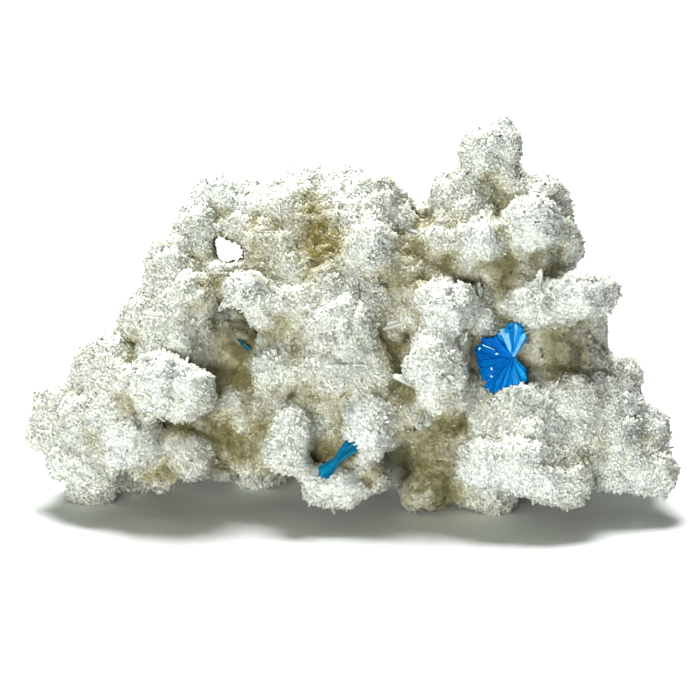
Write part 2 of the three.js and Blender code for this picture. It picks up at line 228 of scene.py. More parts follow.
grown = bmesh.new()
grown.from_mesh(frame["nodes"]["stilbite_matrix"].data)
for across, up, out, radius in FILLERS:
    bmesh.ops.create_icosphere(grown, subdivisions=3, radius=radius * MM,
                               matrix=Matrix.Translation(on_face((across, up, out))))
mass = bpy.data.meshes.new("mass")
grown.to_mesh(mass)
grown.free()
body = applied("stilbite_body", mass, [
    ("WELD", {"merge_threshold": WELDED}),
    ("REMESH", {"mode": "VOXEL", "voxel_size": VOXEL}),
    ("DISPLACE", {"strength": GAP / 2, "mid_level": 0}),
    ("REMESH", {"mode": "VOXEL", "voxel_size": VOXEL}),
    ("DISPLACE", {"strength": -GAP / 2, "mid_level": 0}),
    ("SMOOTH", {"factor": 0.5, "iterations": SKIN_ROUNDS}),
    ("TRIANGULATE", {}),
])
print("melted:", len(body.data.vertices), "corners")

# %% [markdown]
# The remesh also wraps small voids inside the mass in skins of their own. Nobody sees them, and
# crystals would grow on them, so everything that isn't joined to the topmost corner is dropped.

# %% Keep the outer skin
def one_skin(mesh):
    skin = bmesh.new()
    skin.from_mesh(mesh)
    reached = {max(skin.verts, key=lambda v: v.co.z)}
    waiting = list(reached)
    while waiting:
        for edge in waiting.pop().link_edges:
            for corner in edge.verts:
                if corner not in reached:
                    reached.add(corner)
                    waiting.append(corner)
    bmesh.ops.delete(skin, geom=[v for v in skin.verts if v not in reached], context="VERTS")
    skin.to_mesh(mesh)
    skin.free()


one_skin(body.data)
print("outer skin:", len(body.data.vertices), "corners")

# %% [markdown]
# From here on the skin is worked as arrays, which treats all of its corners at once. One helper
# writes moved corners back, never lower than the table, and one gives the mean of each corner's
# neighbours.

# %% The skin as arrays
def vectors(items, field, width=3):
    flat = np.empty(len(items) * width)
    items.foreach_get(field, flat)
    return flat.reshape(-1, width)


points = vectors(body.data.vertices, "co")
normals = vectors(body.data.vertices, "normal")
edges = vectors(body.data.edges, "vertices", 2).astype(int)
triangles = vectors(body.data.polygons, "vertices").astype(int)


def reshaped(points):
    points[:, 2] = np.maximum(points[:, 2], 0)
    body.data.vertices.foreach_set("co", points.ravel())
    body.data.update()
    return points, vectors(body.data.vertices, "normal")


def neighbour_mean(values):
    a, b = edges.T
    count = len(points)
    columns = [np.bincount(a, v[b], count) + np.bincount(b, v[a], count) for v in values.T]
    return np.column_stack(columns) / np.bincount(edges.ravel(), minlength=count)[:, None]


print("skin:", len(edges), "edges")

# %% [markdown]
# The creases between lumps have partly grown shut. Plain smoothing would round the lumps off as
# well. Here a corner only moves outwards, towards its neighbours' mean, which fills creases and
# leaves the tops alone. The rim of the window is spared.

# %% Fill the creases
FILL_ROUNDS = 40
WINDOW = (-17.1, 37.4)  # across, up: where one sees right through between two lumps
WINDOW_MARGIN = 5  # mm from its middle that are spared

place = face_place(points)
beside_window = np.hypot(place[:, 0] - WINDOW[0], place[:, 1] - WINDOW[1]) < WINDOW_MARGIN
for _ in range(FILL_ROUNDS):
    move = np.einsum("ij,ij->i", neighbour_mean(points) - points, normals)
    points, normals = reshaped(
        points + normals * (np.clip(move, 0, None) * ~beside_window)[:, None])
print("highest corner:", round(float(points[:, 2].max()) / MM, 1), "mm")

# %% [markdown]
# Each lump is itself a cluster of small knobs, where crystals fan out from one seed. Noise alone
# would give waves; a Voronoi pattern, which has one seed for each cell, gives knobs.

# %% Raise the knobs
PULL_IN = 0.15 * MM  # room under the crystals that will stand on the skin
KNOBS = [(3.6 * MM, 1.2 * MM), (1.7 * MM, 0.7 * MM)]  # width and height
KNOB_TOP = 0.4  # how much of a knob's height stands above the skin
SWELL = (9 * MM, 0.9 * MM)  # slow swelling that keeps the lumps from being balls


def relief(point):
    rise = noise.noise(Vector(point) / SWELL[0]) * SWELL[1]
    for width, height in KNOBS:
        nearest = noise.voronoi(Vector(point) / width)[0][0]
        rise += (KNOB_TOP - min(nearest, 1.0) ** 2) * height
    return rise


height = np.array([relief(p) for p in points]) - PULL_IN
points, normals = reshaped(points + normals * height[:, None])
print("relief:", (np.array([height.min(), height.max()]) / MM).round(2), "mm")

# %% [markdown]
# Two lumps of the left shoulder leave a window between them. Its rim is given as a distance for
# each direction, and every corner that stands inside the rim is pushed out to it, front to back.

# %% Open the window
WINDOW_LEAN = (-0.031, 0.026)  # how far its middle drifts for each mm further back
WINDOW_RIM = [  # degrees round it, mm to its rim
    (-180, 2.3), (-121, 2.4), (-80, 2.1), (-55, 2.4), (-33, 2.7), (0, 2.2), (11, 2.1), (60, 1.8),
    (100, 1.8), (121, 2.8), (144, 3.2), (180, 2.3),
]
place = face_place(points)
from_window = place[:, :2] - WINDOW + place[:, 2:] * WINDOW_LEAN
distance = np.hypot(*from_window.T)
turn = np.degrees(np.arctan2(from_window[:, 1], from_window[:, 0]))
push = np.clip(np.interp(turn, *np.transpose(WINDOW_RIM)) / distance, 1, None) - 1
points = points + (from_window * push[:, None]) @ FACE[:2] * MM
points, normals = reshaped(points)
print("body:", len(points), "corners,", len(triangles), "triangles")

# %% [markdown]
# In the hollows the crystals are stained beige by clay and iron, and less light reaches them; their
# colour is darkened there as well, as painted shade. How deep a place lies is measured by sending
# rays out of it: in a hollow, most of them soon hit the opposite wall. Painting it by hand would
# have to be redone after each change of shape.

# %% Measure how sheltered each place is
RAYS = 32
RAY_REACH = 11 * MM
RAY_START = 0.6  # mm above the skin
RAY_RISE = 0.15  # rays flatter to the skin than this are left out


def directions(count):
    """Evenly spread directions over a ball, by the golden angle."""
    i = np.arange(count) + 0.5
    z = 1 - 2 * i / count
    angle = math.pi * (1 + math.sqrt(5)) * i
    r = np.sqrt(1 - z * z)
    return np.column_stack([r * np.cos(angle), r * np.sin(angle), z])


tree_of_body = BVHTree.FromPolygons(points.tolist(), triangles.tolist())
ways = directions(2 * RAYS)
sheltered = np.zeros(len(points))
for i, (point, normal) in enumerate(zip(points, normals)):
    start = Vector(point + normal * RAY_START * MM)
    facing = ways[ways @ normal > RAY_RISE]
    stopped = sum(
        tree_of_body.ray_cast(start, Vector(way), RAY_REACH)[0] is not None for way in facing)
    sheltered[i] = stopped / len(facing)
print("sheltered: middle", round(float(np.median(sheltered)), 2))

# %% [markdown]
# Rays miss the small folds between knobs. Those are found by evening the skin out and seeing which
# corners lay below the evened one. Both measures together give the clay tint and the painted shade
# of the hollows and folds, which the materials read.

# %% Add the small folds
FOLD_ROUNDS = 60
FOLD_DEPTH = 0.5 * MM
FOLD_SHARE = 0.3

evened = points.copy()
for _ in range(FOLD_ROUNDS):
    evened += (neighbour_mean(evened) - evened) * 0.5
fold = np.clip(np.einsum("ij,ij->i", evened - points, normals) / FOLD_DEPTH, -1, 1)
# clay tint and painted shade, deepest in hollows and folds
clay_and_shade = np.clip(sheltered + FOLD_SHARE * fold, 0, 1)
print("recess: middle", round(float(np.median(clay_and_shade)), 2), "deepest", round(float(clay_and_shade.max()), 2))

# %% [markdown]
# Iron has stained one patch below the crest ochre, and clay has tinted the folds between the lumps
# tan; in the folds painted shade adds to that tint. Where that happened follows no rule that could
# be measured, so these places are listed on the face, each with how far it spreads and how strong it
# is.
# A faint stain lies on all but the youngest lumps.

# %% Where iron and clay have stained
BASE_STAIN = 0.14
OCHRE = [  # across, up, radius, strength
    (-4.2, 38, 4.6, 1.2), (-5.4, 41.4, 4.4, 1.05), (-3.6, 35.2, 3.4, 0.9), (-9, 40, 5.5, 0.45),
    (-19.6, 22.4, 3, 0.4), (28.5, 8.8, 2.4, 0.3), (31, 8.4, 2.6, 0.45), (34, 10.2, 2.4, 0.45),
    (41, 10.6, 2, 0.55), (11, 9, 4, 0.35), (-17.6, 24, 4.8, 0.7), (-17, 19.6, 3.6, 0.6),
    (4.5, 22, 3, 0.25), (-36, 4, 4, 0.3), (-3, 9.8, 3.2, 0.45), (-17, 10, 6, 0.4),
    (-11, 8, 4, 0.35), (-28, 5, 5, 0.35), (-19.6, 15.4, 3, 0.45), (-16, 15, 3.4, 0.4),
]
FRESH = [  # across, up, radius of the youngest lumps
    (-24.4, 19.5, 5), (14.4, 27.6, 4.5), (10.6, 18.5, 4.5), (17.9, 7.3, 6), (26.3, 6.6, 4),
    (1.8, 12.5, 4), (-8.7, 11.5, 4), (-1.7, 3.5, 4), (29, 31.8, 6), (25.6, 40.9, 4),
    (17.6, 38.8, 4), (20.7, 52, 4), (-15, 31.5, 2.8), (1.8, 36.3, 3), (-1.5, 29, 2.5),
    (-19, 45.8, 4), (-3, 48.3, 5), (-38.8, 7.7, 3), (-33, 11.5, 4), (25, 16.8, 3), (39, 5, 4),
    (39.6, 13.6, 4.6), (28.4, 12.4, 4), (-7, 12.6, 3),
]
print("ochre spots:", len(OCHRE), "fresh lumps:", len(FRESH))

# %% [markdown]
# Older crystals are greyed by clay, and thin crusts let light through and stay pale. But many of the
# grey spots are painted shade, under overhangs and in the gaps between lumps, and many of the pale
# ones are painted light that lifts a shadow. These lists, and the two above, were tuned for one view
# in one light. So some of their spots have no stain behind them: they darken or lighten a place
# where the mass itself isn't quite deep or thin enough, as at the foot of the front and at the right
# end.
# For another view it would be better to change the shape there.

# %% Where the mass is greyer or paler, with painted shade and light
BASE_DUSK = 0.22
FOOT_SHADE = 0.5  # painted shade at the very foot
FOOT_HEIGHT = 6  # mm up to where that has faded out
# grey from clay in part, painted shade under overhangs and between lumps in part
GREY_AND_PAINTED_SHADE = [  # across, up, radius, strength
    (-12, 36, 6, 0.5), (-12.5, 39.5, 4, 0.85), (-7, 45.6, 2.6, 0.75), (-35.5, 10.6, 2.6, 0.6),
    (-22.9, 12.4, 2.6, 0.9), (13.7, 13.4, 2.6, 1.5), (21.4, 35.4, 3, 0.75), (-16.6, 22, 4, 0.7),
    (-15, 19.5, 3, 0.8), (-19.8, 32.5, 3, 0.8), (-20, 29, 4, 0.6), (-17.5, 30.5, 3, 0.6),
    (29, 24, 6, 0.7), (29, 21, 5, 0.7), (20, 34, 4, 0.9), (12.5, 35.5, 3, 0.8),
    (20.6, 39.5, 1.6, 0.7), (18.5, 15, 3, 0.5), (-38, 8, 8, 0.35), (-30, 6, 6, 0.35),
    (26, 28, 3, 0.5), (9, 13, 4.5, 0.7), (10.5, 8, 5.5, 1.2), (9, 3, 4, 0.9),
    (5.6, 22.6, 3.2, 0.85), (7, 17.6, 3.2, 0.8), (-3.8, 9.8, 2.4, 0.85), (-1, 7.5, 3, 0.5),
    (-18.4, 12.4, 3.6, 1), (-15.4, 9, 4, 1), (-18.6, 7.6, 3.6, 1), (-12.4, 12.2, 3, 0.8),
    (-13, 6.6, 3, 0.9), (-24, 6.4, 3.6, 0.7), (-28.4, 5.4, 2.6, 0.8), (-21.6, 8.6, 3, 0.6),
    (-5, 34, 4, 0.6), (6, 33.6, 3.6, 0.7), (-10.6, 26.4, 3.6, 0.7), (-9, 22, 3, 0.6),
    (-5, 18.6, 4, 0.75), (-11.4, 17.4, 3, 0.5), (-13.4, 14.4, 3.6, 0.75), (2, 19, 3, 0.4),
    (9, 37.4, 3.6, 0.9), (10, 41.4, 2.6, 0.9), (9, 33, 2.6, 0.8), (8, 1.6, 3.6, 1),
    (13.6, 2, 3.6, 0.9), (3, 6, 2.4, 1.1), (3.6, 2.6, 2.6, 1), (-6, 26, 8, 0.42),
    (-6, 19, 6, 0.5), (-9.6, 5, 4, 0.85), (-25, 6, 4, 1.1), (13, 16, 3, 0.6), (14, 41, 4, 0.6),
    (12, 1.6, 5, 1.2), (32.5, 8.6, 2.6, 0.5), (-31, 16.5, 3, 0.75), (-26, 12.6, 2.6, 0.8),
    (9.5, 36, 3, 0.5), (13, 12, 3.4, 0.5), (-36, 4, 4, 0.5), (-30, 5, 4, 0.45),
    (-38, 13, 4, 0.4), (5, 28, 4, 0.45), (16, 2, 4, 0.45),
]
# pale thin crusts in part, painted light that lifts shadows in part
PALE_AND_PAINTED_LIGHT = [  # across, up, radius, strength
    (*WINDOW, 3.6, 0.8), (-21, 25, 6, 0.8), (-21, 34.6, 3, 0.6), (-17.4, 27.4, 3, 0.7),
    (-21, 38, 3.6, 0.6), (34.4, 19, 4, 0.9), (-27.6, 12, 2.6, 0.7), (18, 33, 2.6, 0.6),
    (15, 22, 2.6, 0.6), (28, 12, 4, 0.6), (-4.4, 12.8, 3, 0.75), (-19.6, 26.4, 3, 0.6),
]
print("dusky spots:", len(GREY_AND_PAINTED_SHADE), "pale spots:", len(PALE_AND_PAINTED_LIGHT))

# %% [markdown]
# Each spot fades out round its middle. Dust and clay settle in folds and leave the tops of the knobs
# clean, and shade gathers there too, so the spots are weighted by how creased and sheltered the skin
# is: partly clay, partly painted shade. That also hides their rims. A spot has no depth of its own
# and reaches through the mass. The ochre and dusky ones colour only what faces the viewer, and the
# fresh and pale ones all that lies behind them too.

# %% Lay the stains and the painted shade on the skin
FADE = 1.3  # how many radii from its middle a spot ends
OCHRE_SPILL = 0.15  # ochre spreads a little further out of the folds
FRONT_SLOPE, FRONT_START = 2, 0.6  # how fast a spot fades where the skin turns away, and from where
CREASE_BASE, CREASE_SHELTER, CREASE_FOLD = 0.8, 0.8, 0.35  # weight anywhere, in hollows, in folds
CREASE_RANGE = (0.3, 1.2)  # from the tops of knobs to the deepest folds

place = face_place(points)[:, :2]


def strongest(spots):
    """The strongest of the spots at each corner."""
    found = np.zeros(len(points))
    for across, up, radius, strength in spots:
        away = np.hypot(*(place - (across, up)).T) / radius
        found = np.maximum(found, strength * np.clip(FADE - away, 0, 1))
    return found


front = np.clip(normals @ OUT * FRONT_SLOPE + FRONT_START, 0, 1)  # 1 where it faces the viewer
fresh = np.clip(strongest([(*lump, 1) for lump in FRESH]), 0, 1)
crease = np.clip(CREASE_BASE + CREASE_SHELTER * sheltered + CREASE_FOLD * fold, *CREASE_RANGE)
ochre = strongest(OCHRE) * front * np.clip(crease + OCHRE_SPILL, 0, 1)
stain = np.clip(np.maximum(BASE_STAIN * (1 - fresh), ochre), 0, 1)
# grey spots: clay grey in part, painted shade in part
clay_and_shade = np.maximum(clay_and_shade, strongest(GREY_AND_PAINTED_SHADE) * front * crease)
clay_and_shade = np.maximum(clay_and_shade, BASE_DUSK * (1 - fresh))
# painted shade, darker towards the bottom
clay_and_shade = np.maximum(clay_and_shade, np.interp(place[:, 1], [0, FOOT_HEIGHT], [FOOT_SHADE, 0]))
# pale spots: thin crusts in part, painted light in part
clay_and_shade = np.minimum(clay_and_shade, 1 - strongest(PALE_AND_PAINTED_LIGHT))
print("stained corners:", int((stain > 0.2).sum()))

# %% [markdown]
# The druse: tens of thousands of stilbite crystals, each about 0.6 mm wide. Particles or instances
# would be light to draw, but the model has to be closed meshes. So places are thrown at random over
# the skin, and of those that share a small cell only the first is kept.

# %% Scatter the places where crystals grow
SPACING = 0.44 * MM  # between neighbouring crystals
TRIES = 7  # how many places are thrown on each patch of skin as large as a cell
rng = np.random.default_rng(20)


def scatter(points, triangles, spacing, rng):
    a, b, c = (points[triangles[:, i]] for i in range(3))
    area = np.linalg.norm(np.cross(b - a, c - a), axis=1) / 2
    count = int(TRIES * area.sum() / spacing ** 2)
    chosen = rng.choice(len(triangles), count, p=area / area.sum())
    u, v = rng.random((2, count))
    flip = u + v > 1
    u[flip], v[flip] = 1 - u[flip], 1 - v[flip]
    weights = np.column_stack([1 - u - v, u, v])
    places = np.einsum("ij,ijk->ik", weights, points[triangles[chosen]])
    cell = np.floor(places / spacing).astype(np.int64)
    _, first = np.unique(cell, axis=0, return_index=True)
    return chosen[first], weights[first], places[first]


chosen, weights, places = scatter(points, triangles, SPACING, rng)
print("places:", len(places))

# %% [markdown]
# Some places lie in pockets that are closed all round, where nobody would see a crystal, and those
# are dropped. The others take on the skin's direction, recess and stain at their own place.

# %% Read the skin at each crystal
BURIED = 0.99  # share of rays beyond which a place is closed in
seen = np.einsum("ij,ij->i", weights, sheltered[triangles[chosen]]) < BURIED
chosen, weights, places = chosen[seen], weights[seen], places[seen]


def blended(values):
    return np.einsum("ij,ij...->i...", weights, values[triangles[chosen]])


def unit(rows):
    return rows / np.linalg.norm(rows, axis=1)[:, None]


grow = unit(blended(normals))
deep = blended(clay_and_shade)
tint = blended(stain)
print("crystals:", len(places), "on", round(float(np.ptp(places[:, 0])) / MM, 1), "mm")

# %% [markdown]
# Two small forms are enough for all of them. Stilbite ends in a roof like a chisel's edge, and
# crowded crystals look like three-sided shards. Each corner is given as (side, front, along), with
# a cross-section 1 wide and a length of 1 above the skin. The root reaches below the skin.

# %% Template crystals
CHISEL = {
    "corners": [(-.5, -.5, -.4), (.5, -.5, -.4), (.5, .5, -.4), (-.5, .5, -.4),
                (-.3, -.04, .92), (.32, .06, 1)],
    "faces": [(3, 2, 1, 0), (0, 1, 5, 4), (2, 3, 4, 5), (1, 2, 5), (3, 0, 4)],
}
SHARD = {
    "corners": [(-.5, -.4, -.4), (.5, -.35, -.4), (.05, .55, -.4),
                (-.3, -.24, .84), (.28, -.2, .94), (.03, .3, 1)],
    "faces": [(2, 1, 0), (0, 1, 4, 3), (1, 2, 5, 4), (2, 0, 3, 5), (3, 4, 5)],
}
print("corners:", len(CHISEL["corners"]), "and", len(SHARD["corners"]))

# %% [markdown]
# A crystal added one at a time would take minutes for so many. Instead one template is copied,
# turned and stretched for every crystal at once, as arrays, and written as one joined mesh.

# %% Many copies as one mesh
def joined_mesh(name, corners, faces, count):
    per = len(corners) // count
    loops = np.concatenate([np.array(face) for face in faces])
    ends = np.cumsum([0] + [len(face) for face in faces])
    copy = np.arange(count)[:, None]
    mesh = bpy.data.meshes.new(name)
    mesh.vertices.add(len(corners))
    mesh.vertices.foreach_set("co", corners.ravel())
    mesh.loops.add(len(loops) * count)
    mesh.loops.foreach_set("vertex_index", (copy * per + loops[None]).ravel())
    mesh.polygons.add(len(faces) * count)
    mesh.polygons.foreach_set("loop_start", (copy * len(loops) + ends[None, :-1]).ravel())
    return mesh


def keep_values(mesh, values):
    """Keeps numbers at the corners of a mesh, for its material to read."""
    for key, value in values.items():
        layer = mesh.attributes.new(key, "FLOAT", "POINT")
        layer.data.foreach_set("value", value.astype(np.float32))


print("a chisel is", sum(len(face) - 2 for face in CHISEL["faces"]), "triangles")

# %% [markdown]
# Flat shading on so many tiny faces gives glitter and black specks. Real crystals pass light on to
# each other, which softens them. So each one is shaded as a soft bump on the surface that it
# stands on: its shading leans part of the way from the skin's direction to the crystal's own.

# %% Place, size and shade crystals
BUMP = 0.4  # how strongly a crystal's own shape shows in its shading
BUMP_MIDDLE = 0.3  # where along a crystal its shading turns from downwards to upwards
BUMP_RISE = 0.5  # how strongly it does, beside the turn from side to side
LIFT = 0.02 * MM  # the least height of any corner above the table


def crystals(name, template, at, along, side, size, values, paint, outward=None):
    """One piece of many crystals. size is (width, thickness, length) for each. Without outward,
    the way the surface faces under each crystal, they are shaded flat."""
    axes = (side, np.cross(along, side), along)
    shape = np.array(template["corners"], float)
    parts = [shape[None, :, i:i + 1] for i in range(3)]
    steps = [part * size[:, None, i:i + 1] * axes[i][:, None] for i, part in enumerate(parts)]
    corners = sum(steps, at[:, None]).reshape(-1, 3)
    corners[:, 2] = np.maximum(corners[:, 2], LIFT)
    mesh = joined_mesh(name, corners, template["faces"], len(at))
    keep_values(mesh, {key: np.repeat(value, len(shape)) for key, value in values.items()})
    mesh.update(calc_edges=True)
    if outward is None:
        mesh.shade_flat()
    else:
        bump = parts[0] * axes[0][:, None] + parts[1] * axes[1][:, None]
        bump = bump + (parts[2] - BUMP_MIDDLE) * BUMP_RISE * axes[2][:, None]
        soft = (outward[:, None] + bump * BUMP).reshape(-1, 3)
        mesh.shade_smooth()
        mesh.normals_split_custom_set_from_vertices(unit(soft))
    mesh.materials.append(paint)
    made = bpy.data.objects.new(name, mesh)
    bpy.context.scene.collection.objects.link(made)
    return made


print("the shading follows a crystal's own shape by", BUMP)

# %% [markdown]
# A colour that changes from place to place is a graph of nodes. One helper adds a node, sets its
# values and joins its inputs, so that each material below reads as a short list of what it is made
# of.

# %% One helper for nodes
def node(tree, kind, settings=None, inputs=None):
    made = tree.nodes.new(kind)
    for name, value in (settings or {}).items():
        setattr(made, name, value)
    for name, value in (inputs or {}).items():
        socket = made.inputs[name]
        if isinstance(value, bpy.types.NodeSocket):
            tree.links.new(value, socket)
        else:
            socket.default_value = value
    return made


print("materials so far:", [paint.name for paint in bpy.data.materials])

# %% [markdown]
# Stilbite is a zeolite, a water-bearing silicate that grows as clear to white blades with a glassy
# skin and a pearly sheen. Thousands of them side by side scatter light like snow: some passes
# through the tips, some wanders inside and comes out white. Clear glass alone would turn dark where
# so many overlap. So the material is mostly light scattering below the skin, with a little plain
# transmission and a gloss. It runs from white through grey-green to beige, and to ochre in stains.
# Its darkening towards the hollows and folds is partly clay and partly painted shade.

# %% The material of stilbite
STILBITE_IOR = 1.5
SCATTER = 1.3 * MM  # how far light wanders under the skin
PATCH = 9 * MM  # a lump's width: slow changes from lump to lump
SPECK = 0.4 * MM  # finer than a crystal: slight changes within one
# the darker stops are clay tint and painted shade in hollows and folds
CLAY_AND_SHADE_STOPS = [  # how deep, and the colour there
    (0.12, "ecf6df"), (0.34, "d1d7bf"), (0.55, "b4b292"), (0.8, "86825a"), (1.0, "6a6640"),
]
STAIN_COLOUR = srgb("857a40")


def stilbite(name, values):
    made = material(name, {
        "IOR": STILBITE_IOR, "Subsurface Weight": 0.8, "Subsurface Scale": SCATTER,
        "Subsurface Radius": (1.0, 1.0, 0.85), **values,
    })
    tree = made.node_tree
    clay_and_shade, stain, shade = (
        node(tree, "ShaderNodeAttribute", {"attribute_name": kept}).outputs["Fac"]
        for kept in ("clay_and_shade", "stain", "shade"))
    depth = node(tree, "ShaderNodeValToRGB", inputs={"Fac": clay_and_shade})
    stops = depth.color_ramp.elements
    for stop, (at, hue) in zip(stops, (CLAY_AND_SHADE_STOPS[0], CLAY_AND_SHADE_STOPS[-1])):
        stop.position, stop.color = at, srgb(hue)
    for at, hue in CLAY_AND_SHADE_STOPS[1:-1]:
        stops.new(at).color = srgb(hue)
    stained = node(tree, "ShaderNodeMix", {"data_type": "RGBA"}, {
        "Factor": stain, "A": depth.outputs["Color"], "B": STAIN_COLOUR})
    colour = stained.outputs["Result"]
    position = node(tree, "ShaderNodeTexCoord").outputs["Object"]
    patches, specks = (
        node(tree, "ShaderNodeTexNoise", inputs={
            "Vector": position, "Scale": 1 / width, "Detail": detail})
        for width, detail in ((PATCH, 3.0), (SPECK, 2.0)))
    tones = [  # what it follows, from and to, and the tone it gives there
        (shade, 0.0, 0.08, 0.9, 1.0), (patches.outputs["Fac"], 0.3, 0.7, 0.93, 1.02),
        (specks.outputs["Fac"], 0.3, 0.6, 0.94, 1.0),
    ]
    for followed, low, high, tone_low, tone_high in tones:
        tone = node(tree, "ShaderNodeMapRange", inputs={
            "Value": followed, "From Min": low, "From Max": high,
            "To Min": tone_low, "To Max": tone_high})
        toned = node(tree, "ShaderNodeMix", {"data_type": "RGBA", "blend_type": "MULTIPLY"}, {
            "Factor": 1.0, "A": colour, "B": tone.outputs["Result"]})
        colour = toned.outputs["Result"]
    tree.links.new(colour, tree.nodes["Principled BSDF"].inputs["Base Color"])
    return made


# Crystals of the druse, grown freely into a cavity: tiny glossy faces, so a frosty shine.
druse_paint = stilbite("stilbite_druse", {
    "Transmission Weight": 0.08, "Roughness": 0.4, "Specular IOR Level": 0.35})
# The mass between them, grown tight together: no light goes straight through, and its sheen is dull.
body_paint = stilbite("stilbite_body", {"Transmission Weight": 0.0, "Roughness": 0.6})
print("stilbite:", druse_paint.name, body_paint.name)

# %% [markdown]
# The smooth body stands for the solid from now on. It shows only as the ground between crystals.

# %% Dress the body
keep_values(body.data, {"clay_and_shade": clay_and_shade, "stain": stain, "shade": np.ones(len(points))})
body.data.materials.clear()
body.data.materials.append(body_paint)
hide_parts("stilbite_matrix")
print("the body stands for stilbite_matrix")

# %% [markdown]
# The crystals of one knob fan out from its middle, so each leans away from the middle of its own
# Voronoi cell. In the hollows and stains they starved, and are shorter. Lengths and widths vary by
# a share of themselves, which is what the exponential gives.

# %% How the crystals of the druse stand
LENGTH = (0.34 * MM, 0.36)  # middle length above the body, and how widely it varies
WIDTH = (0.62 * MM, 0.22)
FLATNESS = (0.6, 1.0)  # thickness as a share of the width
SPLAY = 0.35  # how far crystals lean outwards at the edge of a knob
TILT = 0.15  # how far each one strays from its neighbours
SIDE_STRAY = 0.3  # how freely its broad side turns about its length
HOLLOW_VIGOUR = ([0.3, 0.65], [1.0, 0.5])  # recess, and the share of the length left there
STAIN_VIGOUR = ([0.4, 0.9], [1, 0.4])

count = len(places)
knob_width = KNOBS[1][0]
centres = np.array([noise.voronoi(Vector(p) / knob_width)[1][0] for p in places]) * knob_width
lean = (places - centres) / (knob_width / 2) * SPLAY + rng.normal(size=(count, 3)) * TILT
along = unit(grow + lean - grow * np.einsum("ij,ij->i", lean, grow)[:, None])
side = unit(np.cross(along, lean + rng.normal(size=(count, 3)) * SIDE_STRAY))
vigour = np.interp(deep, *HOLLOW_VIGOUR) * np.interp(tint, *STAIN_VIGOUR)
length = LENGTH[0] * np.exp(rng.normal(size=count) * LENGTH[1]) * vigour
width = WIDTH[0] * np.exp(rng.normal(size=count) * WIDTH[1])
thickness = width * rng.uniform(*FLATNESS, count)
size = np.column_stack([width, thickness, length])
shade = rng.random(count)
print("middle length:", round(float(np.median(length)) / MM, 2), "mm")

# %% [markdown]
# One mesh of all of them would be too large to handle, so they are joined region by region.

# %% Grow the druse
FORMS = {"chisels": CHISEL, "shards": SHARD}
FORM_SHARES = (0.55, 0.45)
FLANK = 14 * MM  # where the left and right regions begin
BACK = 3 * MM  # where the back begins

form = rng.choice(len(FORMS), count, p=FORM_SHARES)
REGIONS = {
    "left": places[:, 0] < -FLANK, "middle": abs(places[:, 0]) <= FLANK,
    "right": places[:, 0] > FLANK,
}
faces_front = places[:, 1] < BACK
druse = []
for side_name, here in REGIONS.items():
    for face_name, facing in (("front", faces_front), ("back", ~faces_front)):
        for number, (form_name, template) in enumerate(FORMS.items()):
            pick = here & facing & (form == number)
            druse.append(crystals(
                f"druse_{form_name}_{side_name}_{face_name}", template, places[pick], along[pick],
                side[pick], size[pick],
                {"clay_and_shade": deep[pick], "stain": tint[pick], "shade": shade[pick]}, druse_paint,
                grow[pick]))


def triangle_count(piece):
    return len(piece.data.loops) - 2 * len(piece.data.polygons)


print("druse:", len(druse), "pieces,", sum(triangle_count(p) for p in druse), "triangles, at most",
      max(triangle_count(p) for p in druse), "in one")

# %% [markdown]
# Among the sugar stand larger blades, clear as glass, alone or in small sheaves that splay from one
# root. Random ones alone wouldn't have the few that catch the eye, so those are listed on the face,
# with the way they point; a ray from the viewer finds the surface that each one grows from.

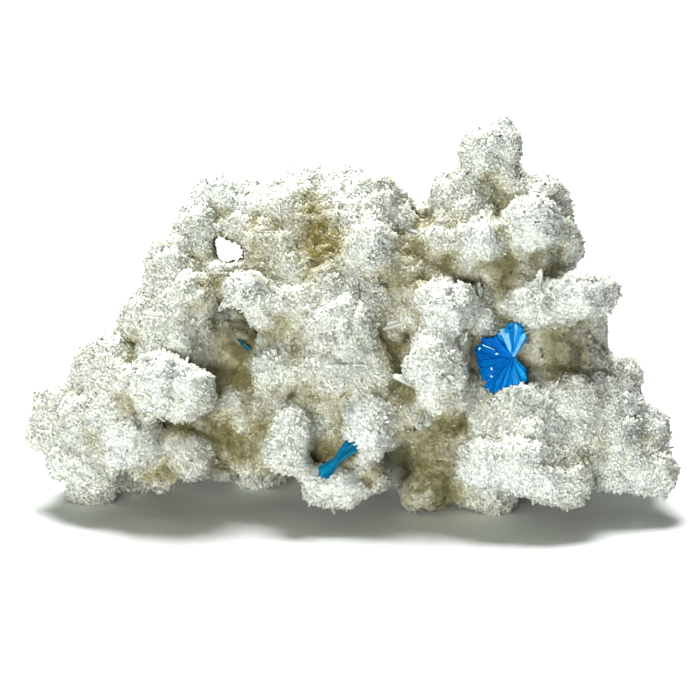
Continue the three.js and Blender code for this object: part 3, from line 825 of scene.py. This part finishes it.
# %% The blades that catch the eye
BLADE = {
    "corners": [(-.5, -.5, -.15), (.5, -.5, -.15), (.5, .5, -.15), (-.5, .5, -.15),
                (-.5, -.5, .84), (.5, -.5, .84), (.5, .5, .84), (-.5, .5, .84),
                (-.3, 0, 1), (.34, 0, .97)],
    "faces": [(3, 2, 1, 0), (0, 1, 5, 4), (1, 2, 6, 5), (2, 3, 7, 6), (3, 0, 4, 7),
              (4, 5, 9, 8), (6, 7, 8, 9), (5, 6, 9), (7, 4, 8)],
}
SHEAVES = [  # across, up, out (None: on the surface), heading, rise, spread, blades, length, width
    (7.9, 18.9, 12.8, 151, 12, 3, 2, 2.9, 0.75), (10.4, 14.8, None, 266, 25, 6, 3, 2.6, 0.6),
    (9, 13.8, None, 252, 20, 6, 2, 2.4, 0.5), (15.3, 24.4, None, 65, 35, 12, 4, 2, 0.6),
    (16.8, 30.4, None, 122, 25, 10, 4, 3, 0.5), (17.7, 30.4, None, 98, 25, 8, 4, 2.8, 0.5),
    (-12.4, 24.2, None, 96, 20, 8, 3, 2.2, 0.5), (25.4, 32.8, None, 82, 15, 8, 3, 2.4, 0.6),
    (33.6, 31.4, None, 48, 30, 6, 2, 3, 0.7), (23.4, 11.8, None, 34, 25, 5, 3, 3.6, 0.7),
    (1, 21.4, None, 178, 15, 4, 2, 4.6, 0.5), (1.2, 46.4, None, 34, 20, 6, 3, 2.4, 0.6),
    (8, 39.8, None, 322, 20, 8, 3, 2.6, 0.5), (26.2, 15.6, None, 72, 25, 10, 5, 3, 0.6),
    (27.4, 15.4, None, 52, 25, 8, 4, 3.2, 0.6), (6, 27, None, 196, 15, 10, 3, 2.6, 0.8),
    (38, 13.4, None, 28, 25, 8, 3, 2.4, 0.6), (-14.6, 31, None, 66, 40, 30, 30, 1.7, 0.5),
    (2.4, 36, None, 70, 40, 40, 30, 1.8, 0.5), (-10.8, 22, None, 92, 30, 30, 26, 1.9, 0.5),
    (12, 20, None, 200, 40, 50, 30, 2, 0.5), (-3, 33, None, 75, 35, 40, 20, 1.8, 0.5),
    # over the foot of the rosette
    (21.6, 16.6, 11.5, 118, 25, 14, 10, 1.9, 0.6), (22.7, 17, 11.8, 92, 25, 16, 12, 1.9, 0.6),
    (23.9, 16.8, 11.6, 70, 25, 14, 10, 1.8, 0.6),
    # along the outline
    (-44.1, 12.8, 0, 172, 10, 2, 1, 2.2, 0.6), (-44.2, 11.2, 0, 196, 10, 2, 1, 2.2, 0.5),
    (-43.8, 16.6, -1, 148, 10, 2, 1, 2.2, 0.6), (-20.8, 47, -3, 118, 10, 2, 1, 2.2, 0.5),
    (43, 13.4, 1.5, 32, 10, 2, 1, 2.2, 0.6),
]
ROOT_DEPTH = 0.35 * MM


def seat(across, up):
    """The place on the body's surface that shows at a place on the face."""
    hit = tree_of_body.ray_cast(Vector(on_face((across, up, 60))), Vector(-OUT))[0]
    return np.array(hit or tree_of_body.find_nearest(Vector(on_face((across, up, 0))))[0])


roots, ways, spreads, lengths, widths = [], [], [], [], []
for across, up, out, heading, rise, spread, blades, reach, width in SHEAVES:
    way = face_direction(heading, rise)
    root = seat(across, up) - way * ROOT_DEPTH if out is None else on_face((across, up, out))
    roots += [root] * blades
    ways += [way] * blades
    spreads += [spread] * blades
    lengths += list(reach * MM * rng.uniform(0.6, 1, blades))
    widths += [width * MM] * blades
print("listed blades:", len(roots), "in", len(SHEAVES), "sheaves")

# %% [markdown]
# Many smaller sheaves are strewn at random among the druse, and all of the blades become one piece.

# %% Strew small sheaves, and join all clear blades
STREWN = 700  # small sheaves at random
STREWN_BLADES = 3
STREWN_LENGTH = 1.0 * MM
STREWN_WIDTH = 0.4 * MM
STREWN_DEPTH = 0.2  # mm that their roots lie below the skin
STREWN_TILT = 0.6  # how far they stray from the skin's direction
STREWN_SPREAD = 16  # degrees
STREWN_ROOM = ([0.3, 0.7], [1, 0.5])  # recess, and the share of the length left there
FLAT = 0.5  # a clear blade's thickness as a share of its width
ROOT_SPREAD = 0.02  # mm for each degree that a sheaf splays, up to 10 degrees


def in_sheaves(at, along, spread):
    """Splays blades that share a root a little away from each other."""
    away = unit(along + rng.normal(size=along.shape) * np.radians(spread)[:, None])
    apart = np.minimum(spread, 10)[:, None]
    return at + rng.normal(size=at.shape) * apart * ROOT_SPREAD * MM, away


picked = np.repeat(rng.choice(len(places), STREWN, replace=False), STREWN_BLADES)
strays = np.repeat(rng.normal(size=(STREWN, 3)), STREWN_BLADES, axis=0)
tilted = unit(grow[picked] + strays * STREWN_TILT)
room = np.interp(deep[picked], *STREWN_ROOM)
at = np.concatenate([roots, places[picked] - grow[picked] * STREWN_DEPTH * MM])
along = np.concatenate([ways, tilted])
spreads = np.concatenate([spreads, np.full(len(picked), STREWN_SPREAD)])
at, along = in_sheaves(at, along, spreads)
length = np.concatenate([lengths, STREWN_LENGTH * rng.uniform(0.7, 1.5, len(picked)) * room])
width = np.concatenate([widths, STREWN_WIDTH * rng.uniform(0.8, 1.3, len(picked))])
side = unit(np.cross(along, rng.normal(size=along.shape)))
listed = np.zeros(len(lengths))
# Single clear crystals with room to grow: smooth faces that let about a third of the light through.
clear_paint = stilbite("stilbite_clear_blades", {
    "Roughness": 0.2, "Transmission Weight": 0.3, "Specular IOR Level": 0.35})
clear_blades = crystals(
    "stilbite_clear_blades", BLADE, at, along, side, np.column_stack([width, width * FLAT, length]),
    {"clay_and_shade": np.concatenate([listed, deep[picked]]),
     "stain": np.concatenate([listed, tint[picked]]), "shade": np.ones(len(at))}, clear_paint)
print("clear blades:", len(at))

# %% [markdown]
# A few dark grains sit between the crystals: scraps of iron and manganese oxide, a fraction of a
# millimetre each. Dark spots in the material would have soft rims, so they are real grains. They
# are small, but they keep the white from looking like sugar icing.

# %% Dark grains
GRAINS = [  # across, up, heading, length, width of the ones that show
    (-32, 28.7, 20, 0.5, 0.3), (-20.5, 48.2, 120, 0.6, 0.3), (-22.4, 21.5, 80, 0.6, 0.5),
    (16, 48, 40, 0.4, 0.3), (20.5, 53.2, 30, 0.4, 0.35), (25.3, 41, 10, 0.5, 0.3),
    (35, 31.2, 150, 0.5, 0.3), (22, 34, 60, 0.4, 0.3), (17.3, 22, 90, 0.4, 0.4),
    (21.5, 20.2, 10, 0.3, 0.3), (26.3, 22.5, 70, 0.4, 0.3), (32.8, 24, 30, 0.3, 0.3),
    (-5.4, 35.6, 325, 1.3, 0.25), (0.9, 32.6, 280, 1.6, 0.18), (-13.2, 25.4, 335, 1.6, 0.5),
    (-4.2, 38.6, 200, 0.7, 0.16), (-3.4, 40.2, 290, 0.8, 0.14), (-2.6, 37.2, 230, 0.7, 0.14),
    (-5.8, 41.2, 300, 0.7, 0.14), (-1.8, 39.6, 100, 0.6, 0.14), (-4.6, 42.4, 190, 0.6, 0.14),
    (29, 8.6, 30, 0.6, 0.2), (31.5, 9.2, 10, 0.7, 0.2), (-4.4, 6.2, 35, 0.5, 0.4),
]
GRAINS_STREWN = 420
GRAIN_LIFT = 0.25  # mm above the skin, so that the listed ones lie on the crystals
STREWN_LIFT = 0.22
GRAIN_RISE = 5  # degrees
GRAIN_LENGTHS, GRAIN_WIDTHS = (0.16, 0.42), (0.1, 0.2)  # mm, of the strewn ones

roots, ways, lengths, widths = [], [], [], []
for across, up, heading, reach, width in GRAINS:
    roots.append(seat(across, up) + OUT * GRAIN_LIFT * MM)
    ways.append(face_direction(heading, GRAIN_RISE))
    lengths.append(reach * MM)
    widths.append(width * MM)
picked = rng.choice(len(places), GRAINS_STREWN, replace=False)
at = np.concatenate([roots, places[picked] + grow[picked] * STREWN_LIFT * MM])
flat = unit(np.cross(grow[picked], rng.normal(size=(GRAINS_STREWN, 3))))
along = np.concatenate([ways, flat])
length = np.concatenate([lengths, rng.uniform(*GRAIN_LENGTHS, GRAINS_STREWN) * MM])
width = np.concatenate([widths, rng.uniform(*GRAIN_WIDTHS, GRAINS_STREWN) * MM])
side = unit(np.cross(along, rng.normal(size=along.shape)))
# Iron and manganese oxide, settled as an earthy film: rough, brown-black, almost without shine.
oxide = material("iron_oxide_grains", {
    "Base Color": srgb("3d3a2c"), "Roughness": 0.7, "Specular IOR Level": 0.3})
grains = crystals("iron_oxide_grains", SHARD, at, along, side,
                  np.column_stack([width, width, length]), {}, oxide)
print("dark grains:", len(at))

# %% [markdown]
# Cavansite is the blue of this specimen: a calcium silicate, coloured by vanadium. A full growth is
# a ball of thin blades from one point, and one held in a crevice is a fan or a bow tie. Seen close,
# it is nearly opaque: deep blue down the sides of a bundle, and pale where its edges split. So each
# blade carries a tone, and a ramp turns tones to colours. A fine noise breaks up the flat faces.
# In the rosette the pale end of the ramp also stands in for its sheen, as painted highlights.

# %% The material of cavansite
CAVANSITE_IOR = 1.54
BLADE_GRAIN = 0.5 * MM  # coarser than the real fibres of a blade, so that they show


def cavansite(name, stops):
    made = material(name, {
        "IOR": CAVANSITE_IOR, "Roughness": 0.4, "Specular IOR Level": 0.03,
        "Transmission Weight": 0.02})
    tree = made.node_tree
    tone = node(tree, "ShaderNodeAttribute", {"attribute_name": "tone"}).outputs["Fac"]
    ramp = node(tree, "ShaderNodeValToRGB", inputs={"Fac": tone})
    for stop, (at, colour) in zip(ramp.color_ramp.elements, (stops[0], stops[-1])):
        stop.position, stop.color = at, srgb(colour)
    for at, colour in stops[1:-1]:
        ramp.color_ramp.elements.new(at).color = srgb(colour)
    grain = node(tree, "ShaderNodeTexNoise", inputs={
        "Vector": node(tree, "ShaderNodeTexCoord").outputs["Object"], "Scale": 1 / BLADE_GRAIN})
    depth = node(tree, "ShaderNodeMapRange", inputs={
        "Value": grain.outputs["Fac"], "From Min": 0.3, "From Max": 0.7,
        "To Min": 0.75, "To Max": 1.1})
    toned = node(tree, "ShaderNodeMix", {"data_type": "RGBA", "blend_type": "MULTIPLY"}, {
        "Factor": 1.0, "A": ramp.outputs["Color"], "B": depth.outputs["Result"]})
    tree.links.new(toned.outputs["Result"], tree.nodes["Principled BSDF"].inputs["Base Color"])
    return made


# Thick, sound blades: strong azure, pale at split edges; the pale streaks of the upper fan are
# partly painted sheen.
azure = cavansite("cavansite_azure_blades", [
    (0.0, "02448c"), (0.35, "0468bc"), (0.6, "047cc6"), (0.8, "0a94d4"), (1.0, "aee4f6")])
# A small, dense bundle in shade: greener and duller.
teal = cavansite("cavansite_teal_blades", [
    (0.0, "03465a"), (0.4, "04688c"), (0.7, "0684a6"), (1.0, "4cb0ca")])
# A few blades deep in a hollow: dark teal.
dark = cavansite("cavansite_dark_blades", [
    (0.0, "043c46"), (0.5, "08545e"), (1.0, "1c7a84")])
print("cavansite:", azure.name, teal.name, dark.name)

# %% [markdown]
# The blades are narrow at the root and broad near the tip, like a plank cut to a wedge. One
# function sets out a fan of them from one root, with their broad sides towards the viewer.

# %% Blue blades in a fan
PLANK = {
    "corners": [(-.18, -.4, 0), (.18, -.4, 0), (.18, .4, 0), (-.18, .4, 0),
                (-.5, -.5, .88), (.5, -.5, .88), (.5, .5, .88), (-.5, .5, .88),
                (-.2, -.4, 1), (.24, -.4, .98), (.24, .4, .98), (-.2, .4, 1)],
    "faces": [(3, 2, 1, 0), (0, 1, 5, 4), (1, 2, 6, 5), (2, 3, 7, 6), (3, 0, 4, 7),
              (4, 5, 9, 8), (5, 6, 10, 9), (6, 7, 11, 10), (7, 4, 8, 11), (8, 9, 10, 11)],
}
ROOT_SCATTER = 0.12  # mm


def fan(root, headings, rises, reach, roll):
    """Where blades start, the way they grow, their broad side, and their length. The roll is how
    far they turn about their own length."""
    along = np.array([face_direction(h, r) for h, r in zip(headings, rises)])
    rolled = rng.normal(size=len(along))[:, None] * roll
    side = unit(np.cross(along, OUT + np.cross(along, OUT) * rolled))
    at = on_face(root) + rng.normal(size=along.shape) * ROOT_SCATTER * MM
    return at, along, side, np.asarray(reach) * MM


print("a blade is", len(PLANK["corners"]), "corners")

# %% [markdown]
# The rosette grew in a hollow that held it on one side, so its outline isn't round. It is listed as
# how far the blades reach in each direction. The blades stand in layers: four that rise more and
# more towards the viewer, and two behind that lean back into the hollow.

# %% Set out the rosette
ROSETTE = (22.1, 22.3, 7.8)  # the point all its blades start from
ROSETTE_REACH = [  # heading in degrees, reach in mm
    (60, 3.6), (66, 4.4), (76, 4.9), (86, 5.1), (98, 4.5), (108, 4.3), (118, 4.1), (128, 3.9),
    (138, 4.2), (150, 4.8), (162, 5.4), (170, 5.8), (180, 5.1), (194, 5.0), (206, 5.3), (217, 5.4),
    (226, 6.2), (236, 6.1), (253, 5.9), (262, 5.6), (274, 5.3), (290, 4.8), (300, 4.2), (308, 3.2),
]
ROSETTE_LAYERS = [(0, 70, 1.0), (8, 60, 1.0), (16, 46, 1.0), (22, 34, 1.02),
                  (-10, 50, 0.96), (-24, 40, 0.9)]  # rise, blades, share of the reach
ROSETTE_FIRST, ROSETTE_LAST = 60, 308  # headings between which its blades stand
FOOT_RISE = ([205, 240], [0, 14])  # the lowest blades rise more: heading, degrees
HEADING_STRAY, RISE_STRAY = 1.5, 4  # degrees
ROSETTE_ROLL = 0.35

headings, rises, reach = [], [], []
for rise, blades, share in ROSETTE_LAYERS:
    h = np.linspace(ROSETTE_FIRST, ROSETTE_LAST, blades) + rng.normal(size=blades) * HEADING_STRAY
    headings.extend(h)
    rises.extend(rise + np.interp(h, *FOOT_RISE) + rng.normal(size=blades) * RISE_STRAY)
    reaches = np.interp(h, *np.transpose(ROSETTE_REACH)) * share
    reach.extend(reaches * rng.uniform(0.9, 1.0, blades))
headings = np.array(headings)
at, along, side, length = fan(ROSETTE, headings, rises, reach, ROSETTE_ROLL)
count = len(at)
print("rosette:", count, "blades, up to", round(float(length.max()) / MM, 1), "mm long")

# %% [markdown]
# Its narrow upper fan is paler than the rest, in streaks: partly its own paler colour, and partly
# painted sheen, since the gloss is kept almost off. A few pale splinters lie on it.

# %% Tone the rosette and join it
FAN_EDGE = 124  # the heading where the upper fan ends
# pale streaks in the upper fan: partly its own colour, partly painted sheen
UPPER_TONE_AND_SHEEN = ([60, 66, 70, 75, 80, 84, 88, 96, 104, 112, 118, 124],
              [0.7, 0.75, 0.95, 0.62, 0.7, 1.0, 0.62, 0.6, 0.85, 1.0, 0.75, 0.4])
LOWER_TONE = ([124, 180, 200, 240, 262, 290, 308],
              [0.33, 0.38, 0.5, 0.42, 0.55, 0.75, 0.7])
BLADE_WIDTH = 0.7 * MM
BLADE_THICKNESS = 0.2 * MM
SPLINTERS = [  # across, up, out, heading, length, width
    (19.6, 23.4, 9.9, 157, 1.9, 0.16), (17.4, 23.4, 10, 60, 0.4, 0.3),
    (19.7, 22.8, 9.8, 20, 0.4, 0.3), (19.2, 20.6, 10, 100, 0.4, 0.3),
    (19.3, 19.7, 10.2, 150, 0.4, 0.35),
]
SPLINTER_THICKNESS = 0.2  # mm
SPLINTER_RISE = 12  # degrees
TONE_STRAY = 0.07  # from blade to blade
PALEST = 0.9  # only the splinters are paler

upper, lower = np.interp(headings, *UPPER_TONE_AND_SHEEN), np.interp(headings, *LOWER_TONE)
tone = np.where(headings < FAN_EDGE, upper, lower) + rng.normal(size=count) * TONE_STRAY
tone = np.clip(tone, 0, PALEST)
size = np.column_stack([
    BLADE_WIDTH * rng.uniform(0.7, 1.15, count), BLADE_THICKNESS * rng.uniform(0.7, 1.2, count),
    length])
for across, up, out, heading, reach, width in SPLINTERS:
    at = np.vstack([at, on_face((across, up, out))])
    along = np.vstack([along, face_direction(heading, SPLINTER_RISE)])
    side = np.vstack([side, face_direction(heading + 90, 0)])
    size = np.vstack([size, np.array([width, SPLINTER_THICKNESS, reach]) * MM])
    tone = np.append(tone, 1)
rosette = crystals("cavansite_rosette_blades", PLANK, at, along, side, size, {"tone": tone}, azure)
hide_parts("cavansite_rosette")
print("rosette with splinters:", len(at), "blades")

# %% [markdown]
# In the cup near the foot, blades grew out of one waist in two opposite sheaves: a bow tie. Blades
# from one point would cross like an X, so each starts a little to the side that it leans to.

# %% The bow tie
BOW_TIE = (-1.9, 8.45, 13.0)  # its waist
BOW_TIE_HEADING = 44
BOW_TIE_BLADES = 40  # in each half
BOW_TIE_SPLAY = 10  # degrees, of the outermost blades
BOW_TIE_REACH = (3.3, 0.5)  # mm in the middle, and how much less at the edges
BOW_TIE_WAIST = 0.36  # mm, half its width
BOW_TIE_RISE = (8, 7)  # degrees that one half rises and the other falls, and how much it varies
BOW_TIE_ROLL = 0.3
BOW_TIE_BLADE = (0.5 * MM, 0.4 * MM)  # width and thickness
BOW_TIE_TONE = (0.33, 0.1)  # and how much it varies

across_tie = np.tile(np.linspace(-1, 1, BOW_TIE_BLADES), 2)  # from one edge of a half to the other
turned = np.repeat([0, 180], BOW_TIE_BLADES)
headings = BOW_TIE_HEADING + turned + BOW_TIE_SPLAY * across_tie
reach = BOW_TIE_REACH[0] - BOW_TIE_REACH[1] * across_tie ** 2
rises = BOW_TIE_RISE[0] * np.repeat([1, -1], BOW_TIE_BLADES)
rises = rises + rng.normal(size=len(headings)) * BOW_TIE_RISE[1]
at, along, side, length = fan(BOW_TIE, headings, rises, reach, BOW_TIE_ROLL)
at = at - side * (across_tie * BOW_TIE_WAIST * MM)[:, None]
size = np.column_stack([*(full * rng.uniform(0.7, 1.1, len(at)) for full in BOW_TIE_BLADE), length])
tone = np.clip(BOW_TIE_TONE[0] + rng.normal(size=len(at)) * BOW_TIE_TONE[1], 0, 1)
bow_tie = crystals("cavansite_bow_tie_blades", PLANK, at, along, side, size, {"tone": tone}, teal)
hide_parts("cavansite_bowtie")
print("bow tie:", len(at), "blades")

# %% [markdown]
# One dark sliver lies in the left hollow: four blades side by side, too few to make a fan.

# %% The sliver
SLIVER = (-15.75, 24.85, 5.1)  # its upper end
SLIVER_HEADING = 317
SLIVER_BLADES = [  # turn, rise, length, width, tone
    (-2, -6, 2.5, 0.45, 0.3), (2, -4, 2.3, 0.4, 0.6),
    (0, -8, 2.6, 0.5, 0.4), (0, -6, 0.8, 0.55, 0.2),
]
SLIVER_THICKNESS = 0.4 * MM
SLIVER_ROLL = 0.2

turns, rises, reach, widths, tones = np.transpose(SLIVER_BLADES)
at, along, side, length = fan(SLIVER, SLIVER_HEADING + turns, rises, reach, SLIVER_ROLL)
size = np.column_stack([widths * MM, np.full(len(at), SLIVER_THICKNESS), length])
sliver = crystals("cavansite_sliver_blades", PLANK, at, along, side, size, {"tone": tones}, dark)
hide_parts("cavansite_sliver")
print("sliver:", len(at), "blades")

# %% [markdown]
# Each piece rides on the one body of the specimen.

# %% Ride on the body
finishes = {
    "stilbite": [body, *druse, clear_blades, grains],
    "cavansite": [rosette, bow_tie],
    "cavansite_dark": [sliver],
}
for slot, pieces in finishes.items():
    for piece in pieces:
        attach(piece, "root")
print("pieces:", sum(len(pieces) for pieces in finishes.values()))
